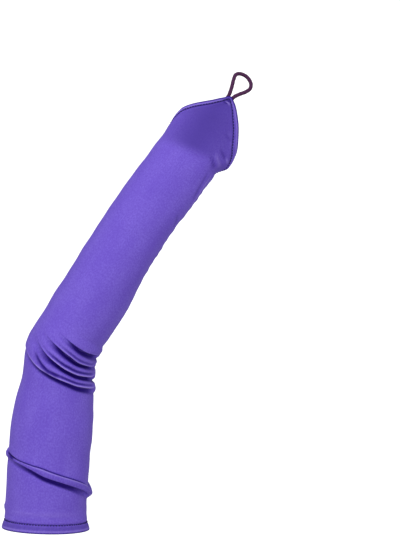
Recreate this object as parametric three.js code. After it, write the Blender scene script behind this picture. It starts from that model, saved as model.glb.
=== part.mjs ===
// Evening mitten: a long fingerless mitten of stretch satin for the left arm, shaped as it is worn.
// It runs from the upper arm round a bent elbow to a pointed end on the back of the hand, and a thin
// elastic loop at the point goes round the middle finger.
//
// Millimetres. +Z is up, +X is the thumb side, and the back of the hand faces -Y.
// The origin is the centre of the arm opening, level with the hem's lower edge.
import * as THREE from "three";

// Lengths along the middle of the arm
const UPPER_ARM_LENGTH = 186;
const FOREARM_LENGTH = 246;
const POINT_LENGTH = 80;

// Widths as the camera sees them, from the little finger's side to the thumb side
const UPPER_ARM_WIDTH = 86;
const ELBOW_WIDTH = 75;
const FOREARM_WIDTH = 71;
const WRIST_WIDTH = 67;
const HAND_WIDTH = 77;

// Cloth, hems and elastic
const CLOTH_THICKNESS = 1.2;
const ARM_HEM_DEPTH = 9;
const ARM_HEM_THICKNESS = 2.6;
const POINT_HEM_WIDTH = 4.5;
const POINT_HEM_THICKNESS = 2.2;
const HEM_STANDS_OUT = 0.4;
const FINGER_WIDTH = 17;
const ELASTIC_DIAMETER = 3;
const CLEARANCE = 0.3;

// Fineness of the meshes
const COLUMNS = 40;
const CENTRE_STEPS = 1200;
const ELASTIC_STEPS = 44;
const ELASTIC_SIDES = 8;
const NORMAL_STEP = 0.2;

// Places along the arm are counted in stations: 0 the hem, 1 the elbow, 2 the wrist, 3 the point.
const ELBOW = 1;
const WRIST = 2;
const POINT = 3;
const LAST_STATION = 3.1;

// Places round the arm are angles in degrees from the thumb side, and this one is the front.
const BACK_OF_HAND = 90;

// How the arm leans towards the thumb side and pitches towards the viewer, in degrees
const BENDS = [
  { station: 0.0, lean: 2.0, pitch: 0 },
  { station: 0.35, lean: 4.4, pitch: 0 },
  { station: 0.7, lean: 6.3, pitch: 0 },
  { station: 0.86, lean: 7.0, pitch: 0 },
  { station: 0.93, lean: 9.0, pitch: 0 },
  { station: 1.0, lean: 18.5, pitch: 0 },
  { station: 1.06, lean: 28.5, pitch: 0 },
  { station: 1.14, lean: 31.5, pitch: 0 },
  { station: 1.35, lean: 30.5, pitch: 0 },
  { station: 1.6, lean: 33.0, pitch: 0 },
  { station: 1.9, lean: 36.5, pitch: 0 },
  { station: 2.1, lean: 37.2, pitch: 9 },
  { station: 2.4, lean: 37.4, pitch: 15 },
  { station: 3.1, lean: 37.4, pitch: 15 },
];

// Sections across the arm: width, depth from front to back and shift towards the thumb side are
// shares of the size named in the row
const SECTIONS = [
  { station: 0.0, size: UPPER_ARM_WIDTH, width: 1.045, depth: 1.02, shift: 0 },
  { station: 0.06, size: UPPER_ARM_WIDTH, width: 0.985, depth: 0.97, shift: 0 },
  { station: 0.3, size: UPPER_ARM_WIDTH, width: 0.995, depth: 1.0, shift: 0 },
  { station: 0.55, size: UPPER_ARM_WIDTH, width: 1.0, depth: 1.0, shift: 0 },
  { station: 0.78, size: ELBOW_WIDTH, width: 1.07, depth: 1.1, shift: 0 },
  { station: 0.87, size: ELBOW_WIDTH, width: 0.985, depth: 1.12, shift: -0.02 },
  { station: 1.02, size: ELBOW_WIDTH, width: 0.965, depth: 1.12, shift: -0.03 },
  { station: 1.15, size: FOREARM_WIDTH, width: 1.045, depth: 1.1, shift: -0.005 },
  { station: 1.4, size: FOREARM_WIDTH, width: 1.0, depth: 1.0, shift: 0 },
  { station: 1.75, size: FOREARM_WIDTH, width: 0.965, depth: 0.8, shift: 0 },
  { station: 2.0, size: WRIST_WIDTH, width: 1.0, depth: 0.66, shift: 0 },
  { station: 2.2, size: HAND_WIDTH, width: 0.985, depth: 0.5, shift: 0.05 },
  { station: 2.5, size: HAND_WIDTH, width: 1.0, depth: 0.43, shift: 0.04 },
  { station: 3.1, size: HAND_WIDTH, width: 0.98, depth: 0.4, shift: 0 },
];

// The hand edge: how far past the wrist it lies, as a share of the point's length, at each angle
// from the thumb side (0) over the back of the hand (90) to the little finger's side (180)
const HAND_EDGE = [
  { angle: -180, reach: 0.31 },
  { angle: -160, reach: 0.2 },
  { angle: -130, reach: 0.12 },
  { angle: -90, reach: 0.06 },
  { angle: -45, reach: 0.04 },
  { angle: -20, reach: 0.1 },
  { angle: 0, reach: 0.27 },
  { angle: 15, reach: 0.42 },
  { angle: 34, reach: 0.575 },
  { angle: 58, reach: 0.8 },
  { angle: 80, reach: 0.965 },
  { angle: 90, reach: 1.0 },
  { angle: 100, reach: 0.925 },
  { angle: 114, reach: 0.805 },
  { angle: 144, reach: 0.59 },
  { angle: 160, reach: 0.485 },
  { angle: 180, reach: 0.31 },
];

// Folds, from the hem upwards. Level is where the crest lies and rise is how far it stands out, both
// at each of FOLD_ANGLES from the thumb side, the same in front and behind. Below and above are the
// lengths of the flanks, and droop is how far the crest hangs down for its rise. Level, rise, below
// and above are shares of the size, and levels are counted from the station named.
const FOLD_ANGLES = [0, 45, 90, 135, 180];
const FOLDS = [
  {
    name: "roll",
    from: 0,
    size: UPPER_ARM_WIDTH,
    level: [0.505, 0.57, 0.69, 0.82, 0.915],
    rise: [0.055, 0.05, 0.045, 0.035, 0.03],
    below: 0.055,
    above: 0.07,
    droop: 0.5,
  },
  {
    name: "elbow_lowest",
    from: ELBOW,
    size: ELBOW_WIDTH,
    level: [-0.44, -0.42, -0.33, -0.185, 0.0],
    rise: [0.05, 0.055, 0.05, 0.035, 0.015],
    below: 0.045,
    above: 0.115,
    droop: 0.25,
  },
  {
    name: "elbow_second",
    from: ELBOW,
    size: ELBOW_WIDTH,
    level: [-0.235, -0.26, -0.155, 0.015, 0.14],
    rise: [0.055, 0.06, 0.045, 0.012, 0],
    below: 0.045,
    above: 0.115,
    droop: 0.25,
  },
  {
    name: "elbow_third",
    from: ELBOW,
    size: ELBOW_WIDTH,
    level: [-0.015, -0.065, 0.04, 0.175, 0.26],
    rise: [0.055, 0.06, 0.04, 0.006, 0],
    below: 0.045,
    above: 0.115,
    droop: 0.25,
  },
  {
    name: "elbow_highest",
    from: ELBOW,
    size: ELBOW_WIDTH,
    level: [0.285, 0.205, 0.205, 0.295, 0.37],
    rise: [0.045, 0.05, 0.03, 0, 0],
    below: 0.045,
    above: 0.12,
    droop: 0.25,
  },
];

// How much of the folds' rise and droop the cloth's inner face follows
const INNER_FACE_FOLLOWS = { rise: 0.7, droop: 0.3 };

// Rows of the sleeve's meshes: how many lie between one named level and the next
const ROWS_HEM_TO_ROLL = 3;
const ROWS_ROLL_TO_ELBOW = 5;
const ROWS_OF_FOREARM = 9;
const ROWS_OF_HAND = 8;
const FOREARM_END = 1.86;

// The finger loop's middle line from one end under the point round the finger to the other end, in
// finger widths from the point: along the hand, towards the thumb side, and down from the back of
// the hand
const LOOP_ROUTE = [
  { along: -0.3, aside: -0.14, down: 0.0 },
  { along: -0.08, aside: -0.14, down: 0.0 },
  { along: 0.15, aside: -0.2, down: 0.02 },
  { along: 0.5, aside: -0.33, down: 0.1 },
  { along: 0.85, aside: -0.5, down: 0.28 },
  { along: 1.12, aside: -0.58, down: 0.58 },
  { along: 1.28, aside: -0.4, down: 0.9 },
  { along: 1.34, aside: 0.0, down: 1.06 },
  { along: 1.22, aside: 0.42, down: 0.94 },
  { along: 0.98, aside: 0.62, down: 0.62 },
  { along: 0.7, aside: 0.54, down: 0.3 },
  { along: 0.4, aside: 0.34, down: 0.1 },
  { along: 0.12, aside: 0.19, down: 0.02 },
  { along: -0.1, aside: 0.14, down: 0.0 },
  { along: -0.3, aside: 0.14, down: 0.0 },
];

// A smooth curve through the values at the given places, which never swings past them. A curve with
// level ends leaves its first and last value without a slope.
function smoothCurve(places, values, levelEnds = false) {
  const gaps = places.slice(1).map((place, i) => place - places[i]);
  const slopes = gaps.map((gap, i) => (values[i + 1] - values[i]) / gap);
  const last = values.length - 1;
  const tangents = values.map((_, i) => {
    if (i === 0) return levelEnds ? 0 : slopes[0];
    if (i === last) return levelEnds ? 0 : slopes[last - 1];
    if (slopes[i - 1] * slopes[i] <= 0) return 0;
    const before = 2 * gaps[i] + gaps[i - 1];
    const after = gaps[i] + 2 * gaps[i - 1];
    return (before + after) / (before / slopes[i - 1] + after / slopes[i]);
  });
  return (place) => {
    const at = THREE.MathUtils.clamp(place, places[0], places[last]);
    let i = 0;
    while (i < last - 1 && at > places[i + 1]) i += 1;
    const t = (at - places[i]) / gaps[i];
    const rise = t * t * (3 - 2 * t);
    return (
      values[i] * (1 - rise) +
      values[i + 1] * rise +
      gaps[i] * (tangents[i] * t * (1 - t) ** 2 + tangents[i + 1] * t * t * (t - 1))
    );
  };
}

// Distance along the arm's middle line of a station
function distanceOf(station) {
  return (
    THREE.MathUtils.clamp(station, 0, ELBOW) * UPPER_ARM_LENGTH +
    THREE.MathUtils.clamp(station - ELBOW, 0, WRIST - ELBOW) * FOREARM_LENGTH +
    Math.max(station - WRIST, 0) * POINT_LENGTH
  );
}

// A smooth curve along the arm through one column of a table
function alongArm(table, value) {
  return smoothCurve(table.map((row) => distanceOf(row.station)), table.map(value));
}

const leanAt = alongArm(BENDS, (row) => THREE.MathUtils.degToRad(row.lean));
const pitchAt = alongArm(BENDS, (row) => THREE.MathUtils.degToRad(row.pitch));
const widthAt = alongArm(SECTIONS, (row) => row.width * row.size);
const depthAt = alongArm(SECTIONS, (row) => row.depth * row.size);
const shiftAt = alongArm(SECTIONS, (row) => row.shift * row.size);

// The three directions of a section: along the arm, towards the thumb, and out of the hand's back
function directionsAt(distance) {
  const lean = leanAt(distance);
  const pitch = pitchAt(distance);
  const along = new THREE.Vector3(
    Math.sin(lean) * Math.cos(pitch),
    -Math.sin(pitch),
    Math.cos(lean) * Math.cos(pitch),
  );
  const thumb = new THREE.Vector3(Math.cos(lean), 0, -Math.sin(lean));
  return { along, thumb, back: new THREE.Vector3().crossVectors(thumb, along) };
}

// The arm's middle line, summed up in short steps
function middleLine() {
  const step = distanceOf(LAST_STATION) / CENTRE_STEPS;
  const points = [new THREE.Vector3()];
  for (let i = 0; i < CENTRE_STEPS; i += 1) {
    const { along } = directionsAt((i + 0.5) * step);
    points.push(points[i].clone().addScaledVector(along, step));
  }
  return (distance) => {
    const place = THREE.MathUtils.clamp(distance / step, 0, CENTRE_STEPS);
    const i = Math.min(Math.floor(place), CENTRE_STEPS - 1);
    return points[i].clone().lerp(points[i + 1], place - i);
  };
}

const centreAt = middleLine();

// A point of the smooth arm form, without folds. The angle is in degrees from the thumb side.
function armPoint(distance, angle) {
  const { thumb, back } = directionsAt(distance);
  const turn = THREE.MathUtils.degToRad(angle);
  return centreAt(distance)
    .addScaledVector(thumb, shiftAt(distance) + (widthAt(distance) / 2) * Math.cos(turn))
    .addScaledVector(back, (depthAt(distance) / 2) * Math.sin(turn));
}

// The angle from the thumb side, 0 to 180 degrees, the same in front and behind
function awayFromThumb(angle) {
  const turned = THREE.MathUtils.euclideanModulo(angle, 360);
  return Math.min(turned, 360 - turned);
}

// Each fold with its sizes worked out in millimetres
const folds = FOLDS.map((fold) => {
  const level = smoothCurve(FOLD_ANGLES, fold.level, true);
  const rise = smoothCurve(FOLD_ANGLES, fold.rise, true);
  return {
    level: (angle) => distanceOf(fold.from) + level(awayFromThumb(angle)) * fold.size,
    rise: (angle) => rise(awayFromThumb(angle)) * fold.size,
    below: fold.below * fold.size,
    above: fold.above * fold.size,
    droop: fold.droop,
  };
});

// How far the folds push the cloth out and let it hang down at a place
function foldAt(distance, angle) {
  let out = 0;
  let down = 0;
  for (const fold of folds) {
    const offset = distance - fold.level(angle);
    const t = offset < 0 ? -offset / fold.below : offset / fold.above;
    if (t >= 1) continue;
    const lift = fold.rise(angle) * Math.cos((t * Math.PI) / 2) ** 2;
    out += lift;
    down += lift * fold.droop;
  }
  return { out, down };
}

// The direction straight out of the smooth arm form at a place
function outwardAt(distance, angle) {
  const along = armPoint(distance + NORMAL_STEP, angle).sub(armPoint(distance - NORMAL_STEP, angle));
  const round = armPoint(distance, angle + NORMAL_STEP).sub(armPoint(distance, angle - NORMAL_STEP));
  return along.cross(round).normalize();
}

// A point of the cloth at a depth under its outer face, with the folds. The inner face follows the
// folds less, because the cloth is bunched up inside them.
function clothPoint(distance, angle, depth) {
  const { out, down } = foldAt(distance, angle);
  const follows = depth > 0 ? INNER_FACE_FOLLOWS : { rise: 1, droop: 1 };
  return armPoint(distance, angle)
    .addScaledVector(outwardAt(distance, angle), out * follows.rise - depth)
    .addScaledVector(directionsAt(distance).along, -down * follows.droop);
}

// Distance along the arm of the hand edge at an angle
const edgeReach = smoothCurve(
  HAND_EDGE.map((row) => row.angle),
  HAND_EDGE.map((row) => row.reach),
);

function handEdge(angle) {
  const turned = THREE.MathUtils.euclideanModulo(angle + 180, 360) - 180;
  return distanceOf(WRIST) + edgeReach(turned) * POINT_LENGTH;
}

// How much longer a step along the arm is than the same step square to the hand edge
function edgeSlant(angle) {
  const step = 180 / COLUMNS;
  const here = handEdge(angle);
  const climb = Math.max(Math.abs(handEdge(angle + step) - here), Math.abs(here - handEdge(angle - step)));
  const round = armPoint(here, angle + step).distanceTo(armPoint(here, angle - step)) / 2;
  return Math.hypot(1, climb / round);
}

// A level square to the hand edge, a given width before it
const beforeHandEdge = (angle, width) => handEdge(angle) - width * edgeSlant(angle);

// A closed wall round the arm. Each level gives a distance along the arm at an angle, and the outer
// and inner depths are measured under the cloth's outer face. Each four-sided field is split along
// its shorter diagonal.
function wallGeometry(levels, outerDepth, innerDepth) {
  const points = [];
  for (const depth of [outerDepth, innerDepth]) {
    for (const level of levels) {
      for (let j = 0; j < COLUMNS; j += 1) {
        const angle = (j * 360) / COLUMNS;
        points.push(clothPoint(level(angle), angle, depth));
      }
    }
  }
  const innerStart = levels.length * COLUMNS;
  const outer = (i, j) => i * COLUMNS + (j % COLUMNS);
  const inner = (i, j) => innerStart + outer(i, j);
  const indices = [];
  const field = (a, b, c, d) => {
    const split = points[a].distanceTo(points[c]) <= points[b].distanceTo(points[d]);
    indices.push(...(split ? [a, b, c, a, c, d] : [a, b, d, b, c, d]));
  };
  const top = levels.length - 1;
  for (let j = 0; j < COLUMNS; j += 1) {
    for (let i = 0; i < top; i += 1) {
      field(outer(i, j), outer(i + 1, j), outer(i + 1, j + 1), outer(i, j + 1));
      field(inner(i, j), inner(i, j + 1), inner(i + 1, j + 1), inner(i + 1, j));
    }
    field(outer(0, j), outer(0, j + 1), inner(0, j + 1), inner(0, j));
    field(outer(top, j), inner(top, j), inner(top, j + 1), outer(top, j + 1));
  }
  const geometry = new THREE.BufferGeometry().setFromPoints(points);
  geometry.setIndex(indices);
  geometry.computeVertexNormals();
  return geometry;
}

// Levels spread evenly from one level to another, without the last
function levelsBetween(from, to, count) {
  return Array.from({ length: count }, (_, i) => (angle) => {
    const start = from(angle);
    return start + ((to(angle) - start) * i) / count;
  });
}

// The levels that a fold needs: its lower foot, its lower flank, its crest and its upper flank
function levelsOfFold(fold) {
  const offsets = [-fold.below, -fold.below / 2, 0, fold.above / 2];
  return offsets.map((offset) => (angle) => fold.level(angle) + offset);
}

// The satin tube is one piece of cloth on the real mitten. Its solids are two, which meet above the
// folds of the elbow, so that each of them is a simple tube.
const [roll, ...elbowFolds] = folds;
const lowestFold = elbowFolds[0];
const highestFold = elbowFolds[elbowFolds.length - 1];
const elbowTop = (angle) => highestFold.level(angle) + highestFold.above;

// The satin tube from the arm hem to the top of the elbow's folds
function upperSleeveGeometry() {
  const bottom = () => ARM_HEM_DEPTH + CLEARANCE;
  const rollFoot = (angle) => roll.level(angle) - roll.below;
  const rollTop = (angle) => roll.level(angle) + roll.above;
  const elbowFoot = (angle) => lowestFold.level(angle) - lowestFold.below;
  const levels = [
    ...levelsBetween(bottom, rollFoot, ROWS_HEM_TO_ROLL),
    ...levelsOfFold(roll),
    ...levelsBetween(rollTop, elbowFoot, ROWS_ROLL_TO_ELBOW),
    ...elbowFolds.flatMap(levelsOfFold),
    (angle) => elbowTop(angle) - CLEARANCE / 2,
  ];
  return wallGeometry(levels, 0, CLOTH_THICKNESS);
}

// The satin tube from the top of the elbow's folds to the hem of the hand edge
function forearmSleeveGeometry() {
  const bottom = (angle) => elbowTop(angle) + CLEARANCE / 2;
  const forearmEnd = () => distanceOf(FOREARM_END);
  const edge = (angle) => beforeHandEdge(angle, POINT_HEM_WIDTH + CLEARANCE);
  const levels = [
    ...levelsBetween(bottom, forearmEnd, ROWS_OF_FOREARM),
    ...levelsBetween(forearmEnd, edge, ROWS_OF_HAND),
    edge,
  ];
  return wallGeometry(levels, 0, CLOTH_THICKNESS);
}

// The turned band at the arm opening
function armHemGeometry() {
  const levels = [() => 0, () => ARM_HEM_DEPTH / 2, () => ARM_HEM_DEPTH];
  return wallGeometry(levels, -HEM_STANDS_OUT, ARM_HEM_THICKNESS - HEM_STANDS_OUT);
}

// The narrow turned hem all round the hand edge
function pointHemGeometry() {
  const levels = [
    (angle) => beforeHandEdge(angle, POINT_HEM_WIDTH),
    (angle) => beforeHandEdge(angle, POINT_HEM_WIDTH / 2),
    handEdge,
  ];
  return wallGeometry(levels, -HEM_STANDS_OUT, POINT_HEM_THICKNESS - HEM_STANDS_OUT);
}

// The elastic loop, whose two ends are sewn side by side to the underside of the point
function fingerLoopGeometry() {
  const tip = distanceOf(POINT);
  const { along, thumb, back } = directionsAt(tip);
  const seat = POINT_HEM_THICKNESS - HEM_STANDS_OUT + CLEARANCE + ELASTIC_DIAMETER / 2;
  const start = clothPoint(tip, BACK_OF_HAND, seat);
  const points = LOOP_ROUTE.map((row) =>
    start
      .clone()
      .addScaledVector(along, row.along * FINGER_WIDTH)
      .addScaledVector(thumb, row.aside * FINGER_WIDTH)
      .addScaledVector(back, -row.down * FINGER_WIDTH),
  );
  const section = new THREE.Shape();
  section.absarc(0, 0, ELASTIC_DIAMETER / 2, 0, 2 * Math.PI);
  const outline = new THREE.Shape(section.getSpacedPoints(ELASTIC_SIDES).slice(0, ELASTIC_SIDES));
  return new THREE.ExtrudeGeometry(outline, {
    steps: ELASTIC_STEPS,
    bevelEnabled: false,
    extrudePath: new THREE.CatmullRomCurve3(points),
  });
}

// A named mesh with its own material
function piece(name, geometry, finish) {
  const mesh = new THREE.Mesh(geometry, new THREE.MeshStandardMaterial(finish));
  mesh.name = name;
  return mesh;
}

const mitten = new THREE.Group();
mitten.name = "evening_mitten";
mitten.add(
  piece("upper_sleeve", upperSleeveGeometry(), { color: 0x7761cd, roughness: 0.5, metalness: 0 }),
  piece("forearm_sleeve", forearmSleeveGeometry(), { color: 0x7761cd, roughness: 0.5, metalness: 0 }),
  piece("arm_hem", armHemGeometry(), { color: 0x5c44b1, roughness: 0.5, metalness: 0 }),
  piece("point_hem", pointHemGeometry(), { color: 0x5c44b1, roughness: 0.5, metalness: 0 }),
  piece("finger_loop", fingerLoopGeometry(), { color: 0x441e33, roughness: 0.8, metalness: 0 }),
);

export default mitten;
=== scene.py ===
"""A long evening mitten of purple stretch satin, in the shape that the arm gives it.

The sleeve is one sheet of cloth with its folds, pleats and side seam. Two turned hems, their
stitches and a covered elastic loop complete it. Lengths are millimetres until a mesh is made.
"""

import logging
import math
from dataclasses import dataclass, field
from enum import Enum
from typing import Callable, NamedTuple

import bpy
import numpy as np
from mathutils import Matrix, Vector


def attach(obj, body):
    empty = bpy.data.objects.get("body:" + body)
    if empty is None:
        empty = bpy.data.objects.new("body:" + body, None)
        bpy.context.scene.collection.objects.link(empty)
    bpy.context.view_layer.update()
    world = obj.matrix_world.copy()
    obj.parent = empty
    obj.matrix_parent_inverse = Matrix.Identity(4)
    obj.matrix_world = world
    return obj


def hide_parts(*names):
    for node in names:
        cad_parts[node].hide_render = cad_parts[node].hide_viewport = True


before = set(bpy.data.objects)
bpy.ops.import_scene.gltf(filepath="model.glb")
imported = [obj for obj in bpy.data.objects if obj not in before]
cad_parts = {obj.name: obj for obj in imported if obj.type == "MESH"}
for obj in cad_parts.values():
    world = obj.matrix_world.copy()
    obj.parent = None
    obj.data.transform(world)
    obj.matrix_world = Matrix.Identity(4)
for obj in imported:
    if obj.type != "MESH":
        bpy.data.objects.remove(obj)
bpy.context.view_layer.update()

log = logging.getLogger("evening_mitten")

MM = 0.001
UV_NAME = "cloth"
# Mesh attributes: painted shade in creases, painted shade over the hand and painted highlights.
CREASE_SHADE_NAME = "crease"
SHADE_NAME = "shade"
HIGHLIGHT_NAME = "light"

Array = np.ndarray
Colour = tuple[float, float, float, float]


class Slot(Enum):
    """The record's material slots."""

    SATIN = "satin"
    HEM = "satin_hem"
    ELASTIC = "elastic"


def table(kind: type, *rows: tuple) -> tuple:
    """A table of rows, with the kind's fields as its columns."""
    return tuple(kind(*row) for row in rows)


# The arm's form


class Bend(NamedTuple):
    """How the arm leans towards the thumb side and pitches towards the viewer, in degrees."""

    station: float
    lean: float
    pitch: float


class Section(NamedTuple):
    """A section across the arm: width, depth and shift are shares of its size."""

    station: float
    size: str
    width: float
    depth: float
    shift: float


class AtAngle(NamedTuple):
    """A size at an angle round the arm, in degrees from the thumb side."""

    angle: float
    size: float


BENDS = table(
    Bend,
    (0, 2, 0),
    (0.35, 4.4, 0),
    (0.7, 6.3, 0),
    (0.86, 7, 0),
    (0.93, 9, 0),
    (1, 18.5, 0),
    (1.06, 28.5, 0),
    (1.14, 31.5, 0),
    (1.35, 30.5, 0),
    (1.6, 33, 0),
    (1.9, 36.5, 0),
    (2.1, 37.2, 9),
    (2.4, 37.4, 15),
    (3.1, 37.4, 15),
)

SECTIONS = table(
    Section,
    (0, "upper_arm_width", 1.045, 1.02, 0),
    (0.06, "upper_arm_width", 0.985, 0.97, 0),
    (0.3, "upper_arm_width", 0.995, 1, 0),
    (0.55, "upper_arm_width", 1, 1, 0),
    (0.78, "elbow_width", 1.07, 1.1, 0),
    (0.87, "elbow_width", 0.985, 1.12, -0.02),
    (1.02, "elbow_width", 0.965, 1.12, -0.03),
    (1.15, "forearm_width", 1.045, 1.1, -0.005),
    (1.4, "forearm_width", 1, 1, 0),
    (1.75, "forearm_width", 0.965, 0.8, 0),
    (2, "wrist_width", 1, 0.66, 0),
    (2.2, "hand_width", 0.985, 0.5, 0.05),
    (2.5, "hand_width", 1, 0.43, 0.04),
    (3.1, "hand_width", 0.98, 0.4, 0),
)

HAND_EDGE = table(
    AtAngle,
    (-180, 0.31),
    (-160, 0.2),
    (-130, 0.12),
    (-90, 0.06),
    (-45, 0.04),
    (-20, 0.1),
    (0, 0.27),
    (15, 0.42),
    (34, 0.575),
    (58, 0.8),
    (80, 0.965),
    (90, 1),
    (100, 0.925),
    (114, 0.805),
    (144, 0.59),
    (160, 0.485),
    (180, 0.31),
)


class Swell(NamedTuple):
    """A soft swelling or hollow of the form, in millimetres, with its reach along and round the arm."""

    distance: float
    angle: float
    length: float
    turn: float
    out: float


SWELLS = table(
    Swell,
    (0, 0, 18, 45, 1.8),
    (160, 180, 24, 45, -2.1),
    (180, 176, 8, 40, 0.6),
    (214, 180, 14, 45, -0.9),
    (213.2, 0, 3.2, 30, -1.5),
    (262, 0, 22, 35, 1.7),
    (402, 0, 34, 40, 2.5),
    (427, -5, 8, 30, 1.3),
)


class SmoothCurve:
    """A smooth curve through values at given places, which never swings past them."""

    def __init__(self, places: list[float], values: list[float], level_ends: bool = False) -> None:
        """Works out the slopes.

        Args:
            places: where the values stand, in rising order.
            values: the values themselves.
            level_ends: whether the curve leaves its first and last value without a slope.
        """
        self.places = np.array(places, float)
        self.values = np.array(values, float)
        self.gaps = np.diff(self.places)
        slopes = np.diff(self.values) / self.gaps
        self.tangents = np.zeros(len(self.values))
        if not level_ends:
            self.tangents[0] = slopes[0]
            self.tangents[-1] = slopes[-1]
        for i in range(1, len(self.values) - 1):
            if slopes[i - 1] * slopes[i] > 0:
                before = 2 * self.gaps[i] + self.gaps[i - 1]
                after = self.gaps[i] + 2 * self.gaps[i - 1]
                weight = before / slopes[i - 1] + after / slopes[i]
                self.tangents[i] = (before + after) / weight

    def __call__(self, place: Array) -> Array:
        """Reads the curve.

        Args:
            place: where it is read.

        Returns:
            The curve's value at each place.
        """
        at = np.clip(place, self.places[0], self.places[-1])
        i = np.clip(np.searchsorted(self.places, at, side="left") - 1, 0, len(self.gaps) - 1)
        t = (at - self.places[i]) / self.gaps[i]
        rise = t * t * (3 - 2 * t)
        bend = self.tangents[i] * t * (1 - t) ** 2 + self.tangents[i + 1] * t * t * (t - 1)
        return self.values[i] * (1 - rise) + self.values[i + 1] * rise + self.gaps[i] * bend


def round_curve(rows: tuple[AtAngle, ...]) -> SmoothCurve:
    """The smooth curve through sizes at angles."""
    return SmoothCurve([row.angle for row in rows], [row.size for row in rows])


def half_turn(angle: Array) -> Array:
    """The same angle, between -180 and 180 degrees."""
    return np.mod(np.asarray(angle, float) + 180, 360) - 180


def away_from_thumb(angle: Array) -> Array:
    """The angle from the thumb side, 0 to 180 degrees, the same in front and behind."""
    turned = np.mod(angle, 360)
    return np.minimum(turned, 360 - turned)


def bump(distance: Array, width: float) -> Array:
    """A smooth hump of height 1 at distance 0."""
    return np.exp(-((distance / width) ** 2))


def smooth_step(low: float, high: float, value: Array) -> Array:
    """0 below low, 1 above high and smooth between them."""
    t = np.clip((value - low) / (high - low), 0, 1)
    return t * t * (3 - 2 * t)


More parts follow.
